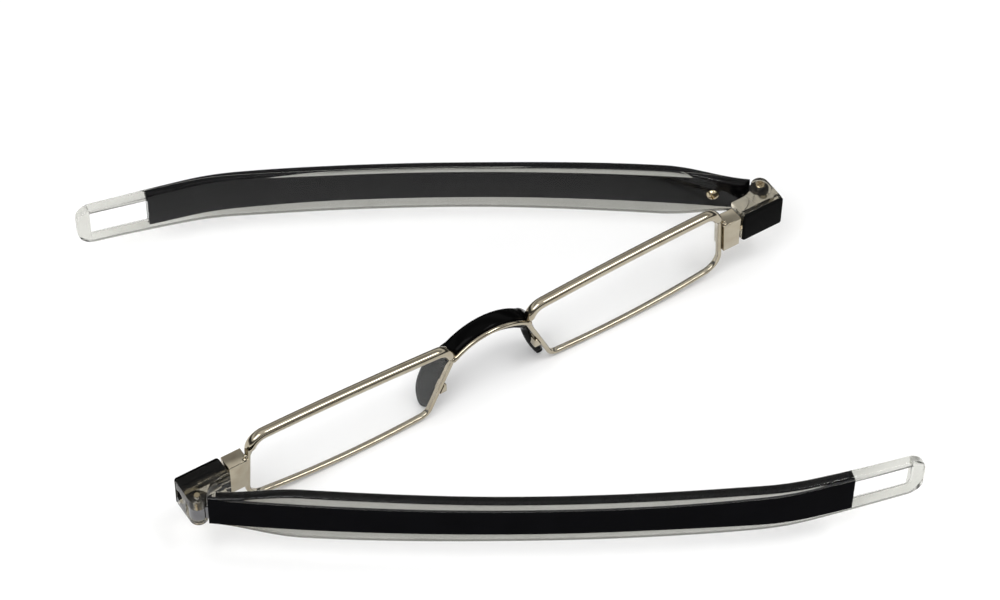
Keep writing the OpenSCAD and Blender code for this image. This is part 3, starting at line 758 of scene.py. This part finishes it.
def block_plan():
    """The swivel block seen from above: a straight part that a round hollow blends into the hinge knuckle."""
    web_y = BLOCK_Y1 + WEB_R
    web_x = HINGE_X - math.sqrt((WEB_R + KNUCKLE_R) ** 2 - (web_y - HINGE_Y) ** 2)
    meet = math.atan2(web_y - HINGE_Y, web_x - HINGE_X)      # from the knuckle to the hollow's centre
    points = [(BLOCK_X0, BLOCK_Y0)]
    for angle in steps_between(0, math.pi / 2, 6):
        points.append((BLOCK_X1 - CORNER_R + CORNER_R * math.sin(angle),
                       BLOCK_Y0 + CORNER_R - CORNER_R * math.cos(angle)))
    for angle in steps_between(0, meet, 18):
        points.append((HINGE_X + KNUCKLE_R * math.cos(angle), HINGE_Y + KNUCKLE_R * math.sin(angle)))
    for angle in steps_between(meet - math.pi, -math.pi / 2, 14)[1:]:
        points.append((web_x + WEB_R * math.cos(angle), web_y + WEB_R * math.sin(angle)))
    return points + [(BLOCK_X0, BLOCK_Y1)]


def at_hinge(mesh):
    """Moves what was turned about X onto the hinge screw's axis."""
    return moved(mesh, Matrix.Translation((HINGE_X, HINGE_Y, 0)) @ ALONG_Z)


def block_mesh():
    """The clear swivel block, with its screw recess, its hinge bore and the slot between its two ears."""
    body = prism(block_plan(), -BLOCK_H / 2, BLOCK_H / 2, 0.35)
    bore = lathe([(BLOCK_X0 - 1, BORE_R), (WASHER_X0 + 0.01, BORE_R)])
    recess = lathe([(WASHER_X0, RECESS_R), (BLOCK_X1 - 0.25, RECESS_R), (BLOCK_X1 + 0.3, RECESS_R + 0.5)])
    slot_low, slot_high = LEAF_RISE - LEAF_H / 2 - 0.05, LEAF_RISE + LEAF_H / 2 + 0.05
    slot = at_hinge(lathe([(slot_low, KNUCKLE_R + SLOT_GAP), (slot_high, KNUCKLE_R + SLOT_GAP)], 64))
    pin = at_hinge(lathe([(-BLOCK_H, PIN_R + SEAT), (BLOCK_H, PIN_R + SEAT)]))
    head = at_hinge(lathe([(BLOCK_H / 2 - PIN_HEAD_H, PIN_HEAD_R + SEAT), (BLOCK_H, PIN_HEAD_R + SEAT)]))
    return carved(body, [bore, recess, slot, pin, head])


def cover_mesh():
    """The black cover: a plate whose front edge is fully rounded."""
    outline = rounded_rectangle(BLOCK_X0, BLOCK_X1, -BLOCK_H / 2, BLOCK_H / 2, 0.6)
    edge = COVER_T - 0.05
    levels = [(BLOCK_Y0 + SEAT, outline), (COVER_Y + edge, outline)]
    for angle in steps_between(0, math.pi / 2, 5)[1:]:
        levels.append((COVER_Y + edge * (1 - math.sin(angle)), inset(outline, edge * (1 - math.cos(angle)))))
    return loft([[(a, y, b) for a, b in ring] for y, ring in levels])


# ---- Hinge and temple ----

def hinge_screw_mesh():
    """The cross-slot screw that the temple folds on."""
    top = BLOCK_H / 2
    profile = [(-top + 0.1, 0), (-top + 0.1, 0.55), (-top + 0.25, PIN_R), (top - PIN_HEAD_H, PIN_R),
               (top - PIN_HEAD_H, PIN_HEAD_R), (top - 0.12, PIN_HEAD_R), (top, PIN_HEAD_R - 0.14), (top, 0)]
    slots = [box(HINGE_X - a, HINGE_X + a, HINGE_Y - b, HINGE_Y + b, top - 0.28, top + 1)
             for a, b in ((0.12, 0.75), (0.75, 0.12))]
    return carved(at_hinge(lathe(profile)), slots)


def heading(s):
    """The temple's direction, at a length along it: an even curve, and a bend near the tip."""
    bend = TIP_BEND * min(1.0, max(0.0, (s - BEND_S + BEND_W) / (2 * BEND_W)))
    return -math.radians(CURVE * s / CURVE_L + bend)


def make_spine():
    """The temple's centre line from its hinge end, walked in short steps."""
    points = [Vector((TEMPLE_S0, 0))]
    s = TEMPLE_S0
    while s < TEMPLE_L + 1:
        turn = heading(s + SPINE_STEP / 2)
        points.append(points[-1] + SPINE_STEP * Vector((math.cos(turn), math.sin(turn))))
        s += SPINE_STEP
    return points


SPINE = make_spine()


def in_temple(s, n, z):
    """Where a point of the left temple is: s along it, n towards its outer face, z up."""
    spot = (s - TEMPLE_S0) / SPINE_STEP
    i = max(0, min(len(SPINE) - 2, int(spot)))
    p = SPINE[i] + (SPINE[i + 1] - SPINE[i]) * (spot - i)
    turn = heading(s)
    p = p + n * Vector((-math.sin(turn), math.cos(turn)))
    x, y = -p.x, p.y
    c, w = math.cos(REST_FOLD), math.sin(REST_FOLD)
    return Vector((HINGE_X + x * c + y * w, HINGE_Y - x * w + y * c, z))


def at_leaf(s=0.0):
    """Carries X, Y and Z to the left temple's length, outer side and height, at a length s along it."""
    c, w = math.cos(REST_FOLD), math.sin(REST_FOLD)
    turn = Matrix(((-c, w, 0, HINGE_X), (w, c, 0, HINGE_Y), (0, 0, 1, LEAF_RISE), (0, 0, 0, 1)))
    return turn @ Matrix.Translation((s, 0, 0))


def rise(s, s0, s1):
    """Rises softly from 0 at s0 to 1 at s1."""
    return (1 - math.cos(math.pi * min(1, max(0, (s - s0) / (s1 - s0))))) / 2


def shell_half(s):
    """Half the clear shell's height: narrow at the root, full at the shoulder, and tapered to the tip."""
    swell = (TEMPLE_H + SHOULDER - ROOT_H) * rise(s, TEMPLE_S0, SHOULDER_S)
    waist = SHOULDER * rise(s, SHOULDER_S, WAIST_S)
    taper = (TEMPLE_H - TIP_H) * rise(s, TAPER_S, TEMPLE_L)
    return (ROOT_H + swell - waist - taper) / 2


def inlay_half(s):
    """Half the inlay's height, always within the shell's rails."""
    height = (INLAY_ROOT_H + (INLAY_H - INLAY_ROOT_H) * rise(s, LEAF_SCREW_S, 0.4 * TEMPLE_L)
              + (INLAY_END_H - INLAY_H) * rise(s, 0.6 * TEMPLE_L, INLAY_END))
    return min(shell_half(s) - RAIL, height / 2)


def shell_mesh():
    """The clear temple: a bent bar with round edges, a pocket for the inlay, and a window behind its tip."""
    stations = [(TEMPLE_S0 + ROOT_R * (1 - math.cos(a)), ROOT_R * (1 - math.sin(a)))
                for a in steps_between(0, math.pi / 2, 3)[:3]]
    stations += [(s, 0.0) for s in steps_between(TEMPLE_S0 + ROOT_R, TEMPLE_L - TIP_R, 110)]
    stations += [(TEMPLE_L - TIP_R + TIP_R * math.sin(a), TIP_R * (1 - math.cos(a)))
                 for a in steps_between(0, math.pi / 2, 12)[1:]]
    end_t = 0.35        # the share of its thickness that the tip keeps at its very end
    rings = []
    for s, shrink in stations:
        near_tip = max(0.0, s - (TEMPLE_L - THIN_L)) / THIN_L
        half_t = TEMPLE_T / 2 * (end_t + (1 - end_t) * math.sqrt(max(0.0, 1 - near_tip ** 2)))
        section = rounded_box_section(half_t, shell_half(s) - shrink, min(EDGE_R, half_t * 0.9), 6)
        rings.append([in_temple(s, a, b) for a, b in section])
    return carved(loft(rings), [pocket_cutter(), window_cutter(), heel_cutter(), screw_cutter()])


def plate(stations, n0, n1, half):
    """A bent plate between two faces, with a half height at each station."""
    rings = []
    for s in stations:
        corners = ((n0, -half(s)), (n1, -half(s)), (n1, half(s)), (n0, half(s)))
        rings.append([in_temple(s, n, z) for n, z in corners])
    return loft(rings)


def pocket_cutter():
    """The pocket for the inlay, open at the root and the outer face."""
    return plate([TEMPLE_S0 - 1] + steps_between(TEMPLE_S0, INLAY_END - SEAT, 90), SKIN_N + SEAT, TEMPLE_T,
                 lambda s: inlay_half(max(s, TEMPLE_S0)) - SEAT)


def window_cutter():
    """The window that is cut straight through the temple's tip, from the end of the inlay."""
    half = TIP_H / 2 - LOOP_T
    outline = rounded_rectangle(INLAY_END - SEAT, TEMPLE_L - LOOP_END_T, -half, half, 0.35, 6)
    return loft([[in_temple(s, n, z) for s, z in outline] for n in (-TEMPLE_T, TEMPLE_T)])


def heel_cutter():
    """The round hollow that clears the block's ears when the temple is closed."""
    centre = Matrix.Translation((TEMPLE_S0 - 0.8, -TEMPLE_T / 2 - 0.7, 0))
    return moved(lathe([(-20, HEEL_R), (20, HEEL_R)], 64), at_leaf() @ centre @ ALONG_Z)


def screw_cutter():
    """The hole for the leaf's screw."""
    hole = lathe([(-20, LEAF_SCREW_R + SEAT), (20, LEAF_SCREW_R + SEAT)])
    return moved(hole, at_leaf(LEAF_SCREW_S) @ TO_INNER)


def inlay_mesh():
    """The black inlay, with a fine chamfer round its outer face and a slot for the hinge leaf."""
    stations = [TEMPLE_S0 + 0.03] + steps_between(TEMPLE_S0 + 0.1, INLAY_END - 0.1, 90) + [INLAY_END - 0.03]
    rings = []
    for i, s in enumerate(stations):
        end = 0.06 if i in (0, len(stations) - 1) else 0.0
        half, outer, chamfer = inlay_half(s) - end, TEMPLE_T / 2 - end, 0.06
        rings.append([in_temple(s, n, z) for n, z in (
            (SKIN_N, -half), (outer - chamfer, -half), (outer, -half + chamfer),
            (outer, half - chamfer), (outer - chamfer, half), (SKIN_N, half))])
    half = LEAF_H / 2 + 0.02
    slot = box(-1, LEAF_L + 0.02, LEAF_N - 0.01, LEAF_N + LEAF_T + 0.01, -half, half)
    return carved(loft(rings), [moved(slot, at_leaf())])


def leaf_mesh():
    """The hinge leaf: a turned knuckle and the flat tongue that the inlay holds."""
    half, r = LEAF_H / 2, KNUCKLE_R - 0.05
    knuckle = lathe([(-half, PIN_R + 0.05), (-half, r - 0.12), (-half + 0.12, r), (half - 0.12, r),
                     (half, r - 0.12), (half, PIN_R + 0.05)], 56, hollow=True)
    moved(knuckle, at_leaf() @ ALONG_Z)
    outline = rounded_rectangle(0.9, LEAF_L, -half + 0.02, half - 0.02, 0.3)
    tongue = moved(prism(outline, LEAF_N, LEAF_N + LEAF_T, 0.05, upright=True), at_leaf())
    leaf = carved(knuckle, [tongue], "UNION")
    return carved(leaf, [screw_cutter()])


def leaf_screw_mesh():
    """The domed cross-slot screw in the temple's inner face."""
    face, dome_h, slot_turn = TEMPLE_T / 2 + 0.15, 0.8, 20
    radius = (LEAF_HEAD_R ** 2 + dome_h ** 2) / (2 * dome_h)
    reach = math.asin(LEAF_HEAD_R / radius)
    end, seat = -LEAF_N - LEAF_T + 0.02, face - 0.2
    profile = [(end, 0), (end, LEAF_SCREW_R), (seat, LEAF_SCREW_R), (seat, LEAF_HEAD_R - 0.04),
               (face - 0.05, LEAF_HEAD_R)]
    for angle in steps_between(reach, 0, 11):
        profile.append((face + dome_h - radius * (1 - math.cos(angle)), radius * math.sin(angle)))
    screw = moved(lathe(profile, 48), at_leaf(LEAF_SCREW_S) @ TO_INNER)
    top = -face - dome_h        # along Y, which runs from the inner face outwards
    turn = at_leaf(LEAF_SCREW_S) @ Matrix.Rotation(math.radians(slot_turn), 4, "Y")
    slots = []
    for a, b in ((0.78, 0.17), (0.17, 0.78)):
        outline = rounded_rectangle(-a, a, -b, b, 0.1)
        slots.append(moved(prism(outline, top - 0.5, top + 0.55, 0.01, 1, upright=True), turn))
    return carved(screw, slots)


# ---- Assembly ----

def build_front():
    """The front: what is on one side is made once and placed on both."""
    rim, lens, end_piece = rim_mesh(), lens_mesh(), end_piece_mesh()
    for side, place in (("left", LEFT), ("right", MIRRORED)):
        piece("eyewire_" + side, rim.copy(), place, "front", "polished_metal", "rim_" + side)
        piece("reading_lens_" + side, lens.copy(), place, "front", "lens", "lens_" + side, 60)
        piece("endpiece_" + side, end_piece.copy(), place, "front", "polished_metal", "end_piece_" + side)
    piece("bridge", bridge_mesh(), LEFT, "front", "polished_metal", "bridge_wire", 60)
    piece("saddle", saddle_mesh(), LEFT, "front", "black_saddle", "nose_saddle", 75)
    piece("clips", with_mirror([clip_mesh()]), LEFT, "front", "polished_metal", "saddle_clips")
    piece("lock_screws", with_mirror([lock_screw_mesh()]), LEFT, "front", "gold_metal", "rim_lock_screws")
    piece("solder", solder_mesh(), LEFT, "front", "polished_metal", None, 60)


def build_sides():
    """The swivels, hinges and temples; a row is a piece's name, mesh, body, slot and CAD node."""
    collar = bored_disc(END_X1, BLOCK_X0 - SEAT, COLLAR_R, 0.1)
    washer = bored_disc(WASHER_X0 + 0.01, SPRING_X0, HEAD_R, 0.08)
    rows = [("collar", collar, "front", "gold_metal", "swivel_collar"),
            ("long_screw", swivel_screw_mesh(), "front", "steel", "swivel_screw"),
            ("coil_spring", spring_mesh(), "front", "steel", "swivel_spring"),
            ("washer", washer, "swivel_pull", "steel", "thrust_washer"),
            ("block", block_mesh(), "swivel", "clear_plastic", "swivel_block"),
            ("cover", cover_mesh(), "swivel", "black_plastic", "block_cover"),
            ("pin_screw", hinge_screw_mesh(), "swivel", "gold_metal", "hinge_screw"),
            ("leaf", leaf_mesh(), "temple", "dark_steel", "hinge_leaf"),
            ("domed_screw", leaf_screw_mesh(), "temple", "gold_metal", "leaf_screw"),
            ("temple", shell_mesh(), "temple", "clear_plastic", "temple_shell"),
            ("inlay", inlay_mesh(), "temple", "black_inlay", "temple_inlay")]
    for side, place in (("left", LEFT), ("right", REFLECTED)):
        for name, mesh, body, slot, node in rows:
            on = body if body == "front" else body + "_" + side
            made = piece(name + "_" + side, mesh.copy(), place, on, slot, node + "_" + side)
            if name == "coil_spring":
                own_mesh(made)


# ---- Studio ----

def build_camera():
    """A long lens, above and to the wearer's right of the front."""
    azimuth, elevation, roll = (math.radians(v) for v in (-33.3, 50.5, 1.0))
    distance, focal = 694, 127.7
    target = Vector((2.3, -0.3, AXIS_H + 13))
    back = Vector((math.sin(azimuth) * math.cos(elevation), -math.cos(azimuth) * math.cos(elevation),
                   math.sin(elevation)))
    right = Vector((math.cos(azimuth), math.sin(azimuth), 0))
    up = back.cross(right)
    right, up = (right * math.cos(roll) + up * math.sin(roll), up * math.cos(roll) - right * math.sin(roll))
    data = bpy.data.cameras.new("camera")
    data.sensor_width = 36
    data.lens = focal
    data.clip_start, data.clip_end = 0.05, 20
    camera = bpy.data.objects.new("camera", data)
    place = Matrix((right, up, back)).transposed().to_4x4()
    place.translation = (target + back * distance) * MM
    camera.matrix_world = place
    SCENE.collection.objects.link(camera)
    SCENE.camera = camera


def softbox(name, place, size, watts):
    """A rectangular light aimed at the middle of the floor."""
    data = bpy.data.lights.new(name, "AREA")
    data.shape = "RECTANGLE"
    data.size, data.size_y = size
    data.energy = watts
    lamp = bpy.data.objects.new(name, data)
    lamp.location = place
    lamp.rotation_euler = (-Vector(place)).to_track_quat("-Z", "Y").to_euler()
    SCENE.collection.objects.link(lamp)


def build_studio():
    """White room with a dark band round its walls, a strip light, a soft box and a white floor."""
    SCENE.view_settings.view_transform = "Standard"
    world = bpy.data.worlds.new("studio")
    SCENE.world = world
    world.use_nodes = True
    tree = world.node_tree
    place = tree.nodes.new("ShaderNodeTexCoord")
    split = tree.nodes.new("ShaderNodeSeparateXYZ")
    ramp = tree.nodes.new("ShaderNodeValToRGB")
    tree.links.new(place.outputs["Generated"], split.inputs["Vector"])
    tree.links.new(split.outputs["Z"], ramp.inputs["Fac"])
    tree.links.new(ramp.outputs["Color"], tree.nodes["Background"].inputs["Color"])
    tree.nodes["Background"].inputs["Strength"].default_value = 1.0
    # (height in the room, brightness)
    stops = ((0.0, 0.7), (0.05, 0.5), (0.13, 0.06), (0.4, 0.05), (0.46, 0.85), (0.62, 0.95), (0.7, 0.45),
             (0.82, 0.4), (0.9, 1.0), (1.0, 1.0))
    set_ramp(ramp, [(where, (grey, grey, grey)) for where, grey in stops])
    softbox("strip", (0.38, -0.33, 0.98), (0.5, 0.16), 3)
    softbox("fill", (-0.6, -0.2, 0.9), (0.7, 0.7), 6)
    build_floor()


def build_floor():
    """A sheet of white paper, under and all around the glasses."""
    mesh = bpy.data.meshes.new("floor")
    mesh.from_pydata([(-4, -4, 0), (4, -4, 0), (4, 4, 0), (-4, 4, 0)], [], [(0, 1, 2, 3)])
    floor = bpy.data.objects.new("floor", mesh)
    SCENE.collection.objects.link(floor)
    material, tree, shade = shader("floor")
    shade.inputs["Roughness"].default_value = 0.9
    paper = noise(tree, 60, 4)
    tree.links.new(tint(tree, paper, (0.93, 0.93, 0.93), (0.95, 0.95, 0.95)), shade.inputs["Base Color"])
    mesh.materials.append(material)


build_front()
build_sides()
build_camera()
build_studio()
